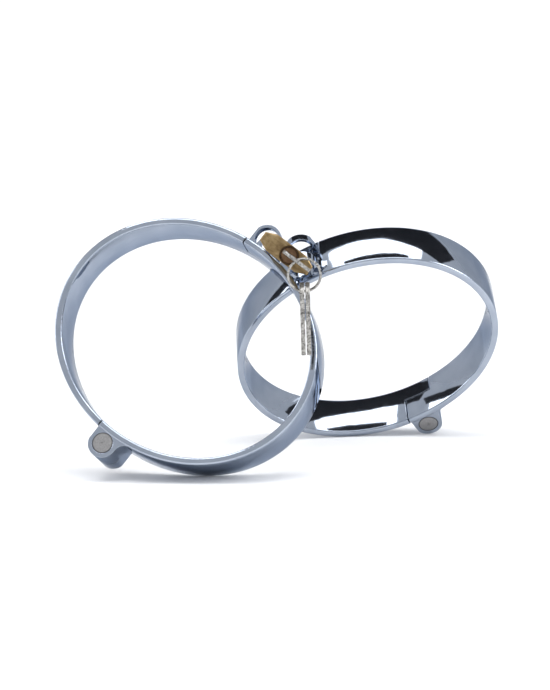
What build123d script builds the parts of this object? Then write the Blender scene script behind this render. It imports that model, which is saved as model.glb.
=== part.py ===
from build123d import *
import math
import os

# Two oval chrome cuffs, each of two hinged halves, joined by a small brass padlock.
# Millimetres, +Z up.  The pair stands on the floor as an A-frame, with the padlock at its apex.
# A cuff's own frame: X runs towards its hinge, Y into half A, Z out of its front rim.
# The padlock's own frame: X from the heel leg to the toe leg, Z out of its base.

# Bands
LONG_SEMI = 49.0              # outer half width across the hinge line
SHORT_SEMI = 42.0             # outer half width along the hinge line
BAND_THICK = 2.5
BAND_WIDE = 17.6
RIM_ROUND = 0.8
STEP_DEPTH = 10.6             # from the front rim to the step in each seam
RUN_GAP = 0.25                # half the gap in a seam

# Hinge knuckles and closure lugs
KNUCKLE_R = 5.2
KNUCKLE_OUT = 3.6             # knuckle centre beyond the band's outer face
KNUCKLE_FILLET = 4.0
KNUCKLE_INSET = 0.3
PIN_R = 3.65
PIN_GAP = 0.05
LUG_BORE_R = 4.15
FRONT_LUG = (2.4, 5.6)        # depths behind the front rim
BACK_LUG = (12.0, 14.8)

# Where the two cuffs and the padlock stand
LEFT_CUFF = Location((-31.44, -20.09, 44.24), (65.42, -9.41, -130.05))
RIGHT_CUFF = Location((31.44, 20.09, 41.07), (125.29, 2.11, -59.86))
PADLOCK = Location((3.18, -14.72, 75.22), (84.16, -0.01, -38.45))

# Padlock
LEG_R = 1.4
LEG_X = 6.7
BOW_Z = -5.15
BODY_TOP = 7.8
BODY_BASE = 23.8
BODY_HALF = 10.0
MID_HALF = 6.0
BODY_THICK = 6.8
END_THICK = 3.4
HEEL_END = 18.0
TOE_END = 13.2
FIT_GAP = 0.05
PLUG_X = 1.2
PLUG_R = 2.95
PLUG_TOP = 12.9
PIN_ZS = (16.0, 18.4, 20.8)
TUMBLER_R = 0.75
KEY_PIN_TIP = 2.55            # from the padlock's middle to the tips of the key pins
LATCH_ZS = (9.5, 11.9)
LATCH_TIP = 5.9
LATCH_TAIL = -2.0
LATCH_TRAVEL = 1.0
LATCH_POCKET = -4.6           # the far end of the pocket that holds the latch spring
LATCH_THICK = 2.4
CAM_OUT = 1.0
CAM_R = 0.5

# Keys and split ring
KEY_THICK = 1.2
BLADE_WIDE = 3.4
KEY_BOW_LONG = 11.0
KEY_BOW_WIDE = 11.2
KEY_HOLE_R = 2.4
BOW_HOLE_X = 4.2
BOW_HOLE_Z = 31.0
RING_R = 5.5
RING_WIRE = 1.0
RING_DEEP = 1.9
SPARE_PITCH = 1.9             # between the middles of the two spare keys
SPARE_THICK = 1.5
HOLE_DROP = 0.95              # a spare key's hole hangs this far below the ring's wire

STEP_Z = BAND_WIDE / 2 - STEP_DEPTH


def block(x, y, z):
    """A box from its (low, high) span along each axis."""
    size = [high - low for low, high in (x, y, z)]
    middle = [(high + low) / 2 for low, high in (x, y, z)]
    return Pos(*middle) * Box(*size)


def rod(radius, z0, z1, x=0.0, y=0.0):
    return Pos(x, y, (z0 + z1) / 2) * Cylinder(radius, z1 - z0)


def rod_along_x(radius, x0, x1, z):
    return Pos((x0 + x1) / 2, 0, z) * Rot(0, 90, 0) * Cylinder(radius, x1 - x0)


def rod_along_y(radius, half, x, z):
    return Pos(x, 0, z) * Rot(90, 0, 0) * Cylinder(radius, 2 * half)


def oval_band():
    """The whole oval ring with its four rims rounded, before it is split into halves."""
    outer = Ellipse(SHORT_SEMI, LONG_SEMI)
    inner = Ellipse(SHORT_SEMI - BAND_THICK, LONG_SEMI - BAND_THICK)
    ring = Pos(0, 0, -BAND_WIDE / 2) * extrude(outer - inner, BAND_WIDE)
    rims = ring.edges().filter_by(GeomType.ELLIPSE)
    return fillet(rims, RIM_ROUND)


def knuckle(side, lean, z0, z1):
    """A boss at the hinge (side 1) or closure (side -1), blended into the band on lean's side of Y."""
    centre = SHORT_SEMI + KNUCKLE_OUT
    root = SHORT_SEMI - 1.8
    fill_x = SHORT_SEMI + 3.2
    fill_y = KNUCKLE_R + KNUCKLE_FILLET
    boss = rod(KNUCKLE_R, z0, z1, centre)
    web = block((root, centre), (-KNUCKLE_R, KNUCKLE_R), (z0, z1))
    fill = block((root, fill_x), (KNUCKLE_R - 0.5, fill_y), (z0, z1))
    fill -= rod(KNUCKLE_FILLET, z0 - 1, z1 + 1, fill_x, fill_y)
    seam_side = block((root - 1, centre + KNUCKLE_R + 1), (-KNUCKLE_R - 1, RUN_GAP - KNUCKLE_R), (z0 - 1, z1 + 1))
    shape = boss + web + fill - seam_side
    if lean < 0:
        shape = mirror(shape, Plane.XZ)
    if side < 0:
        shape = mirror(shape, Plane.YZ)
    return shape


def cuff_half(band, lean):
    """Half A (lean 1) has the front knuckles, half B (lean -1) the back ones."""
    far = LONG_SEMI + 5
    back, front = -BAND_WIDE / 2, BAND_WIDE / 2
    long_zs = (STEP_Z + RUN_GAP, front + 1) if lean > 0 else (back - 1, STEP_Z - RUN_GAP)
    short_zs = (back - 1, STEP_Z + RUN_GAP) if lean > 0 else (STEP_Z - RUN_GAP, front + 1)
    long_ys = sorted((lean * (RUN_GAP - KNUCKLE_R), lean * far))
    short_ys = sorted((lean * (RUN_GAP + KNUCKLE_R), lean * far))
    keep = block((-far, far), long_ys, long_zs) + block((-far, far), short_ys, short_zs)
    half = band & keep
    if lean > 0:
        hinge_zs = (STEP_Z + RUN_GAP, front - KNUCKLE_INSET)
        lug_zs = (front - FRONT_LUG[1], front - FRONT_LUG[0])
    else:
        hinge_zs = (back + KNUCKLE_INSET, STEP_Z - RUN_GAP)
        lug_zs = (front - BACK_LUG[1], front - BACK_LUG[0])
    centre = SHORT_SEMI + KNUCKLE_OUT
    half = half + knuckle(1, lean, *hinge_zs) + knuckle(-1, lean, *lug_zs)
    half -= rod(PIN_R + PIN_GAP, back - 1, front + 1, centre)
    half -= rod(LUG_BORE_R, lug_zs[0] - 1, lug_zs[1] + 1, -centre)
    return half


def hinge_pin():
    """A solid pin through both knuckles, with a small centre mark in its front end."""
    half = BAND_WIDE / 2 - KNUCKLE_INSET
    pin = rod(PIN_R, -half, half, SHORT_SEMI + KNUCKLE_OUT)
    return pin - rod(0.35, half - 0.4, half + 1, SHORT_SEMI + KNUCKLE_OUT)


def padlock_outline(inset=0.0):
    half = BODY_HALF - inset
    thick = BODY_THICK / 2 - inset
    end = END_THICK / 2 - inset
    points = [(half, -end), (half, end), (MID_HALF, thick), (-MID_HALF, thick)]
    points += [(-x, -y) for x, y in points]
    return make_face(Polyline(*points, close=True))


def padlock_body():
    body = Pos(0, 0, BODY_TOP) * extrude(padlock_outline(), BODY_BASE - BODY_TOP)
    rims = body.edges().filter_by(lambda e: abs(e.center().Z - BODY_TOP) < 0.01)
    rims += body.edges().filter_by(lambda e: abs(e.center().Z - BODY_BASE) < 0.01)
    body = chamfer(rims, 0.35)
    body -= rod(LEG_R + FIT_GAP, BODY_TOP - 1, HEEL_END + 3.6, -LEG_X)
    body -= rod(LEG_R + FIT_GAP, BODY_TOP - 1, TOE_END + 0.2, LEG_X)
    body -= rod(PLUG_R + FIT_GAP, LATCH_ZS[1], BODY_BASE + 1, PLUG_X)
    latch = LATCH_THICK / 2 + FIT_GAP
    body -= block((LATCH_POCKET, LEG_X), (-latch, latch), (LATCH_ZS[0] - FIT_GAP, LATCH_ZS[1] + 0.1))
    body -= rod(CAM_OUT + CAM_R + 0.1, LATCH_ZS[1] - 0.8, PLUG_TOP, PLUG_X)
    for z in PIN_ZS:
        body -= rod_along_x(TUMBLER_R + FIT_GAP, PLUG_X, BODY_HALF + 1, z)
    body -= rod_along_y(0.5, BODY_THICK, PLUG_X - PLUG_R, PLUG_TOP + 1.0)
    return body


def shackle():
    """A round bow with a long heel leg and a notched toe leg."""
    heel = rod(LEG_R, BOW_Z, HEEL_END, -LEG_X)
    toe = rod(LEG_R, BOW_Z, TOE_END, LEG_X)
    bow = Pos(0, 0, BOW_Z) * Rot(90, 0, 0) * Torus(LEG_X, LEG_R)
    bow &= block((-20, 20), (-5, 5), (BOW_Z - 20, BOW_Z))
    notch = block((LEG_X - 5, LATCH_TIP + 0.1), (-5, 5), (LATCH_ZS[0] - 0.2, LATCH_ZS[1] + 0.2))
    return heel + toe + bow - notch


def latch_bolt():
    """A sliding bolt with a slot in its underside for the plug's cam."""
    half = LATCH_THICK / 2
    bolt = block((LATCH_TAIL, LATCH_TIP), (-half, half), LATCH_ZS)
    slot = block((PLUG_X - CAM_R - 0.3, PLUG_X + CAM_R + 0.1), (-half - 1, half - 0.4),
                 (LATCH_ZS[1] - 0.9, LATCH_ZS[1] + 1))
    return bolt - slot


def latch_spring():
    """The spring behind the bolt, at the length it has when the bolt is drawn right back."""
    middle = (LATCH_ZS[0] + LATCH_ZS[1]) / 2
    return rod_along_x(0.6, LATCH_POCKET + 0.1, LATCH_TAIL - LATCH_TRAVEL - 0.1, middle)


def plug():
    body = rod(PLUG_R, PLUG_TOP, BODY_BASE - 0.1, PLUG_X)
    groove = rod(PLUG_R + 1, PLUG_TOP + 0.4, PLUG_TOP + 1.6, PLUG_X)
    groove -= rod(PLUG_R - 0.55, PLUG_TOP, PLUG_TOP + 2, PLUG_X)
    keyway_half = KEY_THICK / 2 + 0.15
    keyway = block((PLUG_X - 1.8, PLUG_X + 2.2), (-keyway_half, keyway_half), (PLUG_TOP + 1.8, BODY_BASE + 1))
    body = body - groove - keyway
    for z in PIN_ZS:
        body -= rod_along_x(TUMBLER_R + FIT_GAP, PLUG_X, PLUG_X + PLUG_R + 1, z)
    return body + rod(CAM_R, LATCH_ZS[1] - 0.7, PLUG_TOP + 0.5, PLUG_X, -CAM_OUT)


def tumblers(x0, x1):
    return Compound([rod_along_x(TUMBLER_R, x0, x1, z).solid() for z in PIN_ZS])


def key_blank(thick, blade_long, bow_hole):
    """A flat key in XZ: blade up -Z from the shoulder at Z 0, bow from Z 1 on."""
    blade = block((-BLADE_WIDE / 2, BLADE_WIDE / 2), (-thick / 2, thick / 2), (-blade_long, 1.0))
    shoulder = block((-2.6, 2.6), (-thick / 2, thick / 2), (0.4, 2.2))
    profile = Rot(90, 0, 0) * Ellipse(KEY_BOW_WIDE / 2, KEY_BOW_LONG / 2)
    bow = Pos(0, thick / 2, KEY_BOW_LONG / 2 + 1.6) * extrude(profile, thick)
    hole = rod_along_y(KEY_HOLE_R, thick, 0, bow_hole)
    return blade + shoulder + bow - hole


def cut_teeth(key, thick, zs, floor):
    """Cut a shallow round notch for each tumbler into the key's +X edge."""
    for z in zs:
        key -= Pos(floor + TUMBLER_R + 0.3, 0, z) * Rot(90, 0, 0) * Cylinder(TUMBLER_R + 0.3, 2 * thick)
    return key


def key_in_lock():
    """The key in its keyway, its bow offset towards the toe side."""
    shoulder = BODY_BASE + 0.5
    bow_x = BOW_HOLE_X
    blade_half = BLADE_WIDE / 2
    half = KEY_THICK / 2
    blade = block((PLUG_X - 1.6, PLUG_X - 1.6 + BLADE_WIDE), (-half, half), (PLUG_TOP + 2.2, shoulder + 1.5))
    blade = cut_teeth(blade, KEY_THICK, PIN_ZS, KEY_PIN_TIP - 0.3)
    neck = block((PLUG_X - 2.0, bow_x + blade_half), (-half, half), (shoulder, shoulder + 1.6))
    profile = Rot(90, 0, 0) * Ellipse(KEY_BOW_WIDE / 2, KEY_BOW_LONG / 2)
    bow = Pos(bow_x, half, BOW_HOLE_Z) * extrude(profile, KEY_THICK)
    return blade + neck + bow - rod_along_y(KEY_HOLE_R, KEY_THICK, bow_x, BOW_HOLE_Z)


def ring_centre():
    """The ring hangs from the key's hole, in an upright plane that faces the front."""
    hole = (PADLOCK * Pos(BOW_HOLE_X, 0, BOW_HOLE_Z)).position
    reach = math.radians(62)
    return (hole.X + RING_R * math.cos(reach), hole.Y, hole.Z - RING_R * math.sin(reach))


def split_ring():
    outer = Cylinder(RING_R + RING_WIRE / 2, RING_DEEP)
    inner = Cylinder(RING_R - RING_WIRE / 2, RING_DEEP + 1)
    return Pos(*ring_centre()) * Rot(90, 0, 0) * (outer - inner)


def spare_key(index):
    """A key that hangs edge-on from the bottom of the ring."""
    x, y, z = ring_centre()
    shift = (index - 0.5) * SPARE_PITCH
    hole_z = z - RING_R - HOLE_DROP
    bow_hole = KEY_BOW_LONG / 2 + 1.6 + 1.6
    key = key_blank(SPARE_THICK, 12.0, bow_hole)
    key = cut_teeth(key, SPARE_THICK, (-3.6, -6.0, -8.4), 0.9 + 0.2 * index)
    return Pos(x + shift, y, hole_z - bow_hole) * Rot(0, 0, 90) * key


def build_nodes():
    nodes = {}
    band = oval_band()
    for name, place in (("left", LEFT_CUFF), ("right", RIGHT_CUFF)):
        nodes[name + "_half_a"] = place * cuff_half(band, 1)
        nodes[name + "_half_b"] = place * cuff_half(band, -1)
        nodes[name + "_hinge_pin"] = place * hinge_pin()
    shear = PLUG_X + PLUG_R
    spring_tube = rod(LEG_R - 0.1, HEEL_END + 0.1, HEEL_END + 3.5, -LEG_X)
    spring_tube -= rod(LEG_R - 0.6, HEEL_END, HEEL_END + 4, -LEG_X)
    padlock_parts = {
        "padlock_body": padlock_body(),
        "shackle": shackle(),
        "shackle_spring": spring_tube,
        "latch_bolt": latch_bolt(),
        "latch_spring": latch_spring(),
        "lock_plug": plug(),
        "retaining_pin": rod_along_y(0.45, BODY_THICK / 2 - 0.1, PLUG_X - PLUG_R, PLUG_TOP + 1.0),
        "key_pins": tumblers(KEY_PIN_TIP + 0.05, shear - 0.02),
        "driver_pins": tumblers(shear + 0.02 + FIT_GAP, shear + 2.2),
        "pin_springs": tumblers(shear + 2.3, BODY_HALF - 1.1),
        "chamber_plugs": tumblers(BODY_HALF - 1.0, BODY_HALF - 0.05),
        "key_in_lock": key_in_lock(),
    }
    for name, shape in padlock_parts.items():
        nodes[name] = PADLOCK * shape
    nodes["split_ring"] = split_ring()
    for index in range(2):
        nodes["spare_key_%d" % (index + 1)] = spare_key(index)
    return nodes


def stand_on_floor(nodes):
    """Move everything so the origin is under the middle of the pair, on the floor."""
    box = Compound([solid for shape in nodes.values() for solid in shape.solids()]).bounding_box()
    shift = Pos(-(box.min.X + box.max.X) / 2, -(box.min.Y + box.max.Y) / 2, -box.min.Z)
    print("shift", shift.position)
    return {name: shift * shape for name, shape in nodes.items()}


os.makedirs("parts", exist_ok=True)
for node_name, node_shape in stand_on_floor(build_nodes()).items():
    export_step(node_shape, os.path.join("parts", node_name + ".step"))
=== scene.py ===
import math

import bpy
from mathutils import Matrix, Vector


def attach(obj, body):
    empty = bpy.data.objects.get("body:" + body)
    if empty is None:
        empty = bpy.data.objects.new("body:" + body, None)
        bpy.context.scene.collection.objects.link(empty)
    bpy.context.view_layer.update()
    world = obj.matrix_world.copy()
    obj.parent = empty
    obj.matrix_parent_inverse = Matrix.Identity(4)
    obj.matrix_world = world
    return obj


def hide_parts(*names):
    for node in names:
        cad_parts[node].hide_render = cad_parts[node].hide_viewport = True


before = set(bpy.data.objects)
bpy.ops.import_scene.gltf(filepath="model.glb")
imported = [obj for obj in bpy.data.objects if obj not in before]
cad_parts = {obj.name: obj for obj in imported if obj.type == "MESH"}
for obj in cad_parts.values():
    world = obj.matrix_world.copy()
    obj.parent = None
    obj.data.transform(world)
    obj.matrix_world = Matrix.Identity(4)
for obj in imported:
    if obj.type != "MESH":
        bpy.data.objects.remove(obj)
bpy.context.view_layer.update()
MM = 0.001

# From the cuffs' and padlock's places in the CAD to the row's frame, in millimetres.
FLOOR_SHIFT = Vector((-0.334351, -1.03817, -0.21558))

# The cuffs, in millimetres in their own frame.
CROWN_R = 55.0                # radius of the crown in the chrome's bump; across the band on the cuffs
HINGE_X = 45.6                # hinge pin's middle from the cuff's middle
PIN_R = 3.65

# The padlock, in millimetres in its own frame.
HEEL_LEG_X = -6.7
LATCH_Z = 10.7
PLUG_X = 1.2
PLUG_R = 2.95
PIN_ZS = (16.0, 18.4, 20.8)
KEY_PIN_SPAN = (2.6, 4.13)
KEY_PIN_R = 0.75
KEY_PIN_TIP_R = 0.3
BOW_HOLE = Vector((4.2, 0, 31.0))
RING_R = 5.5                  # middle of the wire
RING_WIRE_R = 0.44
RING_HANG = math.radians(62)

# Each spring's runs from end to end, coil radius, turns and wire radius.
SPRINGS = {
    "shackle_spring": ([((HEEL_LEG_X, 0, 18.3), (HEEL_LEG_X, 0, 21.3))], 1.05, 5, 0.2),
    "latch_spring": ([((-4.38, 0, LATCH_Z), (-3.22, 0, LATCH_Z))], 0.46, 4, 0.11),
    "pin_springs": ([((6.58, 0, z), (8.77, 0, z)) for z in PIN_ZS], 0.6, 6, 0.12),
}

# The studio, in metres: each card's name, size and place, and each light's with its aim and power.
OBJECT_MIDDLE = (0, 0, 0.05)
CARDS = (
    ("card_above", (1.1, 0.30), (0.05, 0.33, 0.62)),
    ("card_front", (0.6, 0.14), (0.0, -0.05, 0.85)),
    ("card_left", (0.12, 0.7), (-0.75, 0.35, 0.40)),
)
LIGHTS = (
    ("overhead", (1.3, 1.1), (0.0, -0.1, 1.3), OBJECT_MIDDLE, 15),
    ("right_box", (0.7, 1.0), (1.3, -0.3, 0.8), OBJECT_MIDDLE, 10),
    ("left_box", (0.5, 1.0), (-1.4, 0.3, 0.7), OBJECT_MIDDLE, 7),
    ("backdrop", (3.0, 1.0), (0.0, 1.8, 2.2), (0, 3.4, 0.6), 16),
)


def local_frame(place, turns):
    """A piece's own frame: the cuffs' Z points out of the front rim, the padlock's out of its base."""
    turn = (Matrix.Rotation(math.radians(turns[0]), 3, "X")
            @ Matrix.Rotation(math.radians(turns[1]), 3, "Y")
            @ Matrix.Rotation(math.radians(turns[2]), 3, "Z"))
    return Matrix.Translation((Vector(place) + FLOOR_SHIFT) * MM) @ turn.to_4x4()


FRAMES = {
    "left": local_frame((-31.44, -20.09, 44.24), (65.42, -9.41, -130.05)),
    "right": local_frame((31.44, 20.09, 41.07), (125.29, 2.11, -59.86)),
    "padlock": local_frame((3.18, -14.72, 75.22), (84.16, -0.01, -38.45)),
}


def add_object(name, data):
    made = bpy.data.objects.new(name, data)
    bpy.context.collection.objects.link(made)
    return made


def point_at(thing, place, aim, axis):
    """Put an object at a place with one of its axes towards a point."""
    thing.location = place
    thing.rotation_mode = "QUATERNION"
    thing.rotation_quaternion = (Vector(aim) - Vector(place)).to_track_quat(axis, "Y")


# ---------------------------------------------------------------- material helpers

def new_material(name, colour, metallic, roughness):
    material = bpy.data.materials.new(name)
    material.use_nodes = True
    shader = material.node_tree.nodes["Principled BSDF"]
    shader.inputs["Base Color"].default_value = (*colour, 1)
    shader.inputs["Metallic"].default_value = metallic
    shader.inputs["Roughness"].default_value = roughness
    return material, shader


def link(material, source, target):
    material.node_tree.links.new(source, target)


def math_node(material, operation, *values):
    """A maths node; each value is a socket or a number."""
    made = material.node_tree.nodes.new("ShaderNodeMath")
    made.operation = operation
    for socket, value in zip(made.inputs, values):
        if isinstance(value, (int, float)):
            socket.default_value = value
        else:
            link(material, value, socket)
    return made.outputs["Value"]


def own_coordinates(material, place, scale=(1, 1, 1)):
    """Coordinates in millimetres along a piece's own axes."""
    where = material.node_tree.nodes.new("ShaderNodeTexCoord")
    inverse = place.inverted()
    mapping = material.node_tree.nodes.new("ShaderNodeMapping")
    mapping.inputs["Rotation"].default_value = inverse.to_euler("XYZ")
    mapping.inputs["Location"].default_value = inverse.translation
    link(material, where.outputs["Object"], mapping.inputs["Vector"])
    stretch = material.node_tree.nodes.new("ShaderNodeVectorMath")
    stretch.operation = "MULTIPLY"
    stretch.inputs[1].default_value = [s / MM for s in scale]
    link(material, mapping.outputs["Vector"], stretch.inputs[0])
    return stretch.outputs["Vector"]


def split_axes(material, place):
    parts = material.node_tree.nodes.new("ShaderNodeSeparateXYZ")
    link(material, own_coordinates(material, place), parts.inputs["Vector"])
    return parts.outputs["X"], parts.outputs["Y"], parts.outputs["Z"]


def radius_from(material, place, x, y):
    """Distance in millimetres from the line along Z through x, y."""
    along_x, along_y, _ = split_axes(material, place)
    off_x = math_node(material, "SUBTRACT", along_x, x)
    off_y = math_node(material, "SUBTRACT", along_y, y)
    square_x = math_node(material, "MULTIPLY", off_x, off_x)
    square_y = math_node(material, "MULTIPLY", off_y, off_y)
    return math_node(material, "SQRT", math_node(material, "ADD", square_x, square_y))


def noise(material, vector, scale, detail=3.0, rough=0.5):
    made = material.node_tree.nodes.new("ShaderNodeTexNoise")
    made.inputs["Scale"].default_value = scale
    made.inputs["Detail"].default_value = detail
    made.inputs["Roughness"].default_value = rough
    link(material, vector, made.inputs["Vector"])
    return made.outputs["Fac"]


def ramp(material, value, stops):
    """A colour that runs through the stops, each a position and a colour."""
    made = material.node_tree.nodes.new("ShaderNodeValToRGB")
    elements = made.color_ramp.elements
    while len(elements) < len(stops):
        elements.new(0.5)
    for element, (place, colour) in zip(elements, stops):
        element.position = place
        element.color = (*colour, 1)
    link(material, value, made.inputs["Fac"])
    return made.outputs["Color"]


def spread(material, value, low, high, start=0.0, stop=1.0):
    """A value's run from start to stop, stretched to run from low to high."""
    made = material.node_tree.nodes.new("ShaderNodeMapRange")
    made.inputs["From Min"].default_value = start
    made.inputs["From Max"].default_value = stop
    made.inputs["To Min"].default_value = low
    made.inputs["To Max"].default_value = high
    link(material, value, made.inputs["Value"])
    return made.outputs["Result"]


def darken(material, colour, amount, dark):
    """Mix a colour towards a dark one where amount is 1."""
    made = material.node_tree.nodes.new("ShaderNodeMixRGB")
    link(material, amount, made.inputs["Fac"])
    link(material, colour, made.inputs["Color1"])
    made.inputs["Color2"].default_value = (*dark, 1)
    return made.outputs["Color"]


def relief(material, shader, height_mm, edge_mm):
    """Surface relief in millimetres, over edges that are softened by a small radius."""
    edge = material.node_tree.nodes.new("ShaderNodeBevel")
    edge.samples = 4
    edge.inputs["Radius"].default_value = edge_mm * MM
    made = material.node_tree.nodes.new("ShaderNodeBump")
    made.inputs["Strength"].default_value = 1.0
    made.inputs["Distance"].default_value = MM
    link(material, height_mm, made.inputs["Height"])
    link(material, edge.outputs["Normal"], made.inputs["Normal"])
    link(material, made.outputs["Normal"], shader.inputs["Normal"])


# ---------------------------------------------------------------- materials

def chrome(name, place):
    """Blue-grey mirror plate, slightly crowned along its own Z and faintly wavy from polishing."""
    material, shader = new_material(name, (0.35, 0.39, 0.46), 1.0, 0.05)
    shader.inputs["Specular Tint"].default_value = (0.42, 0.46, 0.53, 1)
    slow = noise(material, own_coordinates(material, place), 0.10, 2.0)
    colour = ramp(material, slow, ((0.3, (0.31, 0.35, 0.42)), (0.7, (0.39, 0.43, 0.50))))
    link(material, colour, shader.inputs["Base Color"])
    hairlines = noise(material, own_coordinates(material, place, (0.5, 0.5, 8.0)), 1.4, 4.0)
    link(material, spread(material, hairlines, 0.02, 0.10), shader.inputs["Roughness"])
    _, _, along_z = split_axes(material, place)
    crown = math_node(material, "MULTIPLY", math_node(material, "MULTIPLY", along_z, along_z), -0.5 / CROWN_R)
    waves = noise(material, own_coordinates(material, place), 0.09, 1.0)
    height = math_node(material, "ADD", crown, math_node(material, "MULTIPLY", waves, 0.12))
    relief(material, shader, height, 0.3)
    return material


def satin_steel(name, place):
    """A ground pin end: grey, mottled, with painted shade darkening it towards its rim."""
    material, shader = new_material(name, (0.60, 0.60, 0.61), 1.0, 0.38)
    grain = noise(material, own_coordinates(material, place), 2.2, 6.0, 0.7)
    colour = ramp(material, grain, ((0.3, (0.24, 0.235, 0.235)), (0.75, (0.42, 0.415, 0.415))))
    # Painted shade: the pin end's colour darkens to near black over its outer rim, where it meets the
    # knuckle.
    rim = spread(material, radius_from(material, place, HINGE_X, 0.0), 0.0, 1.0, PIN_R - 0.5, PIN_R - 0.1)
    link(material, darken(material, colour, rim, (0.05, 0.05, 0.06)), shader.inputs["Base Color"])
    link(material, spread(material, grain, 0.30, 0.50), shader.inputs["Roughness"])
    relief(material, shader, math_node(material, "MULTIPLY", grain, 0.03), 0.15)
    return material


def brass(name, stops, seam_r):
    """Brushed brass with its grain across the padlock, tarnished in slow patches, with painted shade in a
    dark ring at the plug's seam.
    """
    material, shader = new_material(name, (0.45, 0.31, 0.14), 1.0, 0.34)
    place = FRAMES["padlock"]
    grain = noise(material, own_coordinates(material, place, (0.25, 5.0, 5.0)), 1.2, 5.0, 0.65)
    patches = noise(material, own_coordinates(material, place), 0.35, 3.0, 0.6)
    both = math_node(material, "MULTIPLY", math_node(material, "ADD", grain, patches), 0.5)
    # Painted shade: a dark ring around the plug's seam stands in for the shadow in the fit gap.
    distance = math_node(material, "SUBTRACT", radius_from(material, place, PLUG_X, 0.0), seam_r)
    seam_shade = spread(material, math_node(material, "ABSOLUTE", distance), 0.85, 0.0, 0.15, 0.55)
    colour = darken(material, ramp(material, both, stops), seam_shade, (0.03, 0.015, 0.008))
    link(material, colour, shader.inputs["Base Color"])
    link(material, spread(material, grain, 0.22, 0.46), shader.inputs["Roughness"])
    relief(material, shader, math_node(material, "MULTIPLY", grain, 0.05), 0.2)
    return material


def nickel(name, worn):
    """Nickel plate on the keys and ring, pitted and darkened where it is worn."""
    material, shader = new_material(name, (0.60, 0.58, 0.55), 1.0, 0.18)
    grain = noise(material, own_coordinates(material, FRAMES["padlock"]), 1.6, 6.0, 0.75)
    stops = ((0.40, (0.09, 0.085, 0.08)), (0.52, (0.36, 0.35, 0.33)), (0.68, (0.62, 0.61, 0.59)))
    link(material, ramp(material, grain, stops), shader.inputs["Base Color"])
    link(material, spread(material, grain, 0.10, 0.22 + 0.3 * worn), shader.inputs["Roughness"])
    relief(material, shader, math_node(material, "MULTIPLY", grain, 0.03 + 0.12 * worn), 0.2)
    return material


def spring_wire(name):
    """Drawn steel for the coils and the retaining pin."""
    material, shader = new_material(name, (0.5, 0.5, 0.51), 1.0, 0.3)
    grain = noise(material, own_coordinates(material, FRAMES["padlock"]), 5.0, 3.0)
    link(material, ramp(material, grain, ((0.3, (0.38, 0.38, 0.40)), (0.7, (0.60, 0.60, 0.61)))),
         shader.inputs["Base Color"])
    link(material, spread(material, grain, 0.22, 0.42), shader.inputs["Roughness"])
    return material


BRASS_STOPS = ((0.36, (0.12, 0.075, 0.035)), (0.52, (0.27, 0.19, 0.095)), (0.68, (0.44, 0.33, 0.18)))
PLUG_STOPS = ((0.35, (0.09, 0.05, 0.03)), (0.65, (0.26, 0.16, 0.09)))
MATERIALS = {
    "left_chrome": chrome("left_chrome", FRAMES["left"]),
    "right_chrome": chrome("right_chrome", FRAMES["right"]),
    "left_pin": satin_steel("left_pin", FRAMES["left"]),
    "right_pin": satin_steel("right_pin", FRAMES["right"]),
    "brass": brass("brushed_brass", BRASS_STOPS, PLUG_R + 0.1),
    "plug_brass": brass("plug_brass", PLUG_STOPS, PLUG_R),
    "shackle": chrome("shackle_plate", FRAMES["padlock"]),
    "ring": nickel("ring_nickel", 0.0),
    "key": nickel("key_nickel", 1.0),
    "spring": spring_wire("spring_wire"),
}
MATERIAL_NODES = {
    "left_chrome": ("left_half_a", "left_half_b"),
    "right_chrome": ("right_half_a", "right_half_b"),
    "left_pin": ("left_hinge_pin",),
    "right_pin": ("right_hinge_pin",),
    "brass": ("padlock_body", "chamber_plugs"),
    "plug_brass": ("lock_plug", "latch_bolt", "key_pins", "driver_pins"),
    "shackle": ("shackle",),
    "key": ("key_in_lock", "spare_key_1", "spare_key_2"),
    "ring": ("split_ring",),
    "spring": ("retaining_pin", "shackle_spring", "latch_spring", "pin_springs"),
}
for material_name, names in MATERIAL_NODES.items():
    for name in names:
        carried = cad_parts[name]
        carried.data.materials.clear()
        carried.data.materials.append(MATERIALS[material_name])


# ---------------------------------------------------------------- wire pieces

def wire(name, lines, radius_mm, material):
    """One mesh of round wire along each line of points, with capped ends."""
    curve = bpy.data.curves.new(name, "CURVE")
    curve.dimensions = "3D"
    curve.bevel_depth = radius_mm * MM
    curve.bevel_resolution = 3
    curve.use_fill_caps = True
    for points in lines:
        spline = curve.splines.new("POLY")
        spline.points.add(len(points) - 1)
        for point, place in zip(spline.points, points):
            point.co = (*place, 1)
    guide = add_object(name + "_guide", curve)
    depsgraph = bpy.context.evaluated_depsgraph_get()
    mesh = bpy.data.meshes.new_from_object(guide.evaluated_get(depsgraph))
    bpy.data.objects.remove(guide)
    mesh.name = name
    mesh.materials.clear()
    mesh.materials.append(material)
    mesh.polygons.foreach_set("use_smooth", [True] * len(mesh.polygons))
    return add_object(name, mesh)


def coil(start, end, radius_mm, turns):
    """Points of a helix between two places in the padlock's own frame."""
    start, end = Vector(start), Vector(end)
    axis = (end - start).normalized()
    side = axis.cross(Vector((0, 1, 0))).normalized()
    other = axis.cross(side)
    count = turns * 20
    points = []
    for i in range(count + 1):
        angle = math.tau * turns * i / count
        offset = side * math.cos(angle) + other * math.sin(angle)
        points.append(FRAMES["padlock"] @ ((start.lerp(end, i / count) + offset * radius_mm) * MM))
    return points


def make_springs():
    """Coils in place of the rods and tubes that stand for them in CAD."""
    for node_name, (runs, coil_radius, turns, wire_radius) in SPRINGS.items():
        lines = [coil(start, end, coil_radius, turns) for start, end in runs]
        piece = wire(node_name + "_coil", lines, wire_radius, MATERIALS["spring"])
        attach(piece, "lock")
        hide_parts(node_name)


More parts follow.
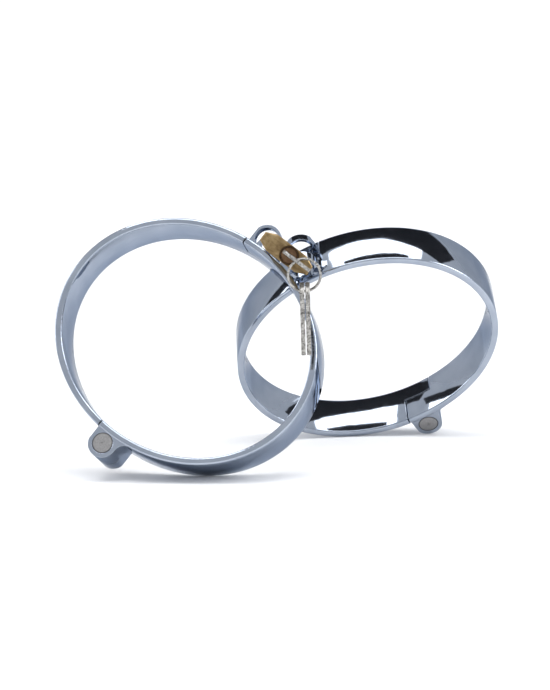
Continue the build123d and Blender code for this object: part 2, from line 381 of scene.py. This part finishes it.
def make_key_pins():
    """Three turned pins along the padlock's X, tapered at the key and domed to the plug's own round."""
    tip, top = KEY_PIN_SPAN
    dome_r = top - PLUG_X
    taper = 0.3
    dome_step = 0.11
    profile = [(tip, KEY_PIN_TIP_R), (tip + taper, KEY_PIN_R)]
    for i in range(6):
        radius = KEY_PIN_R - dome_step * i
        profile.append((PLUG_X + math.sqrt(dome_r ** 2 - radius ** 2), radius))
    segments = 24
    vertices = []
    faces = []
    for z in PIN_ZS:
        start = len(vertices)
        for x, radius in profile:
            for i in range(segments):
                angle = math.tau * i / segments
                point = Vector((x, radius * math.cos(angle), z + radius * math.sin(angle)))
                vertices.append(FRAMES["padlock"] @ (point * MM))
        last = len(vertices) - segments
        for low in range(start, last, segments):
            for i in range(segments):
                after = (i + 1) % segments
                faces.append((low + i, low + after, low + segments + after, low + segments + i))
        faces.append(tuple(range(start + segments - 1, start - 1, -1)))
        faces.append(tuple(range(last, last + segments)))
    mesh = bpy.data.meshes.new("key_pins_turned")
    mesh.from_pydata(vertices, [], faces)
    mesh.materials.append(MATERIALS["plug_brass"])
    pins = add_object("key_pins_turned", mesh)
    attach(pins, "plug")
    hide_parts("key_pins")


def make_split_ring():
    """Two turns of round wire side by side, with a smooth crossing from one to the other."""
    hole = FRAMES["padlock"] @ (BOW_HOLE * MM)
    middle = hole + Vector((math.cos(RING_HANG), 0, -math.sin(RING_HANG))) * RING_R * MM
    steps = 180
    first, length = 0.02, 1.96                  # in turns
    cross_first, cross_length = 0.88, 0.24      # in turns
    end_angle = math.radians(200)
    points = []
    for i in range(steps + 1):
        turns = first + length * i / steps
        angle = math.tau * turns + end_angle
        cross = min(max((turns - cross_first) / cross_length, 0.0), 1.0)
        depth = RING_WIRE_R * (2 * (3 * cross ** 2 - 2 * cross ** 3) - 1)
        points.append(middle + Vector((RING_R * math.cos(angle), depth, RING_R * math.sin(angle))) * MM)
    ring = wire("split_ring_wire", [points], RING_WIRE_R, MATERIALS["ring"])
    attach(ring, "ring")
    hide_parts("split_ring")


# ---------------------------------------------------------------- camera, floor and light

def make_camera():
    """A long lens from in front and a little above; its place is in millimetres."""
    data = bpy.data.cameras.new("camera")
    data.lens = 130.4
    data.sensor_width = 36
    data.dof.use_dof = False
    data.clip_end = 20
    camera = add_object("camera", data)
    camera.location = (Vector((1.8, -883.8, 164.9)) + FLOOR_SHIFT) * MM
    forward = Vector((-0.0039, 0.9903, -0.1389)).normalized()
    up = Vector((0.0278, 0.139, 0.9899))
    right = forward.cross(up).normalized()
    up = right.cross(forward)
    camera.rotation_mode = "QUATERNION"
    camera.rotation_quaternion = Matrix((right, up, -forward)).transposed().to_quaternion()
    bpy.context.scene.camera = camera


def flat_card(name, size, place, material):
    """A flat studio card that faces the object."""
    mesh = bpy.data.meshes.new(name)
    x, y = size[0] / 2, size[1] / 2
    mesh.from_pydata([(-x, -y, 0), (x, -y, 0), (x, y, 0), (-x, y, 0)], [], [(0, 1, 2, 3)])
    mesh.materials.append(material)
    card = add_object(name, mesh)
    point_at(card, place, OBJECT_MIDDLE, "Z")


def make_sweep(material):
    """A pale floor that curves up into a backdrop well behind the object."""
    half_wide, front, back, bend, top = 6.0, -4.0, 2.5, 1.2, 4.0
    steps = 24
    profile = [(front, 0.0)]
    for i in range(steps + 1):
        angle = math.radians(90) * i / steps
        profile.append((back + bend * math.sin(angle), bend * (1 - math.cos(angle))))
    profile.append((back + bend, top))
    vertices = [(x, y, z) for y, z in profile for x in (-half_wide, half_wide)]
    faces = [(2 * i, 2 * i + 1, 2 * i + 3, 2 * i + 2) for i in range(len(profile) - 1)]
    mesh = bpy.data.meshes.new("sweep")
    mesh.from_pydata(vertices, [], faces)
    mesh.polygons.foreach_set("use_smooth", [True] * len(mesh.polygons))
    mesh.materials.append(material)
    sweep = add_object("sweep", mesh)


def area_light(name, size, place, aim, power):
    """A white softbox that points at a place."""
    data = bpy.data.lights.new(name, "AREA")
    data.shape = "RECTANGLE"
    data.size, data.size_y = size
    data.energy = power
    lamp = add_object(name, data)
    point_at(lamp, place, aim, "-Z")


def make_stage():
    """The paper sweep, the black cards that show as dark bands in the chrome, the softboxes and the sky."""
    pale, _ = new_material("sweep_paper", (0.95, 0.95, 0.955), 0.0, 0.8)
    make_sweep(pale)
    black, _ = new_material("black_card", (0.01, 0.01, 0.012), 0.0, 0.9)
    for name, size, place in CARDS:
        flat_card(name, size, place, black)
    for name, size, place, aim, power in LIGHTS:
        area_light(name, size, place, aim, power)
    world = bpy.data.worlds.new("studio")
    bpy.context.scene.world = world
    world.use_nodes = True
    background = world.node_tree.nodes["Background"]
    background.inputs["Color"].default_value = (0.90, 0.92, 0.95, 1)
    background.inputs["Strength"].default_value = 0.9
    bpy.context.scene.view_settings.view_transform = "Standard"


make_camera()
make_stage()
make_springs()
make_key_pins()
make_split_ring()
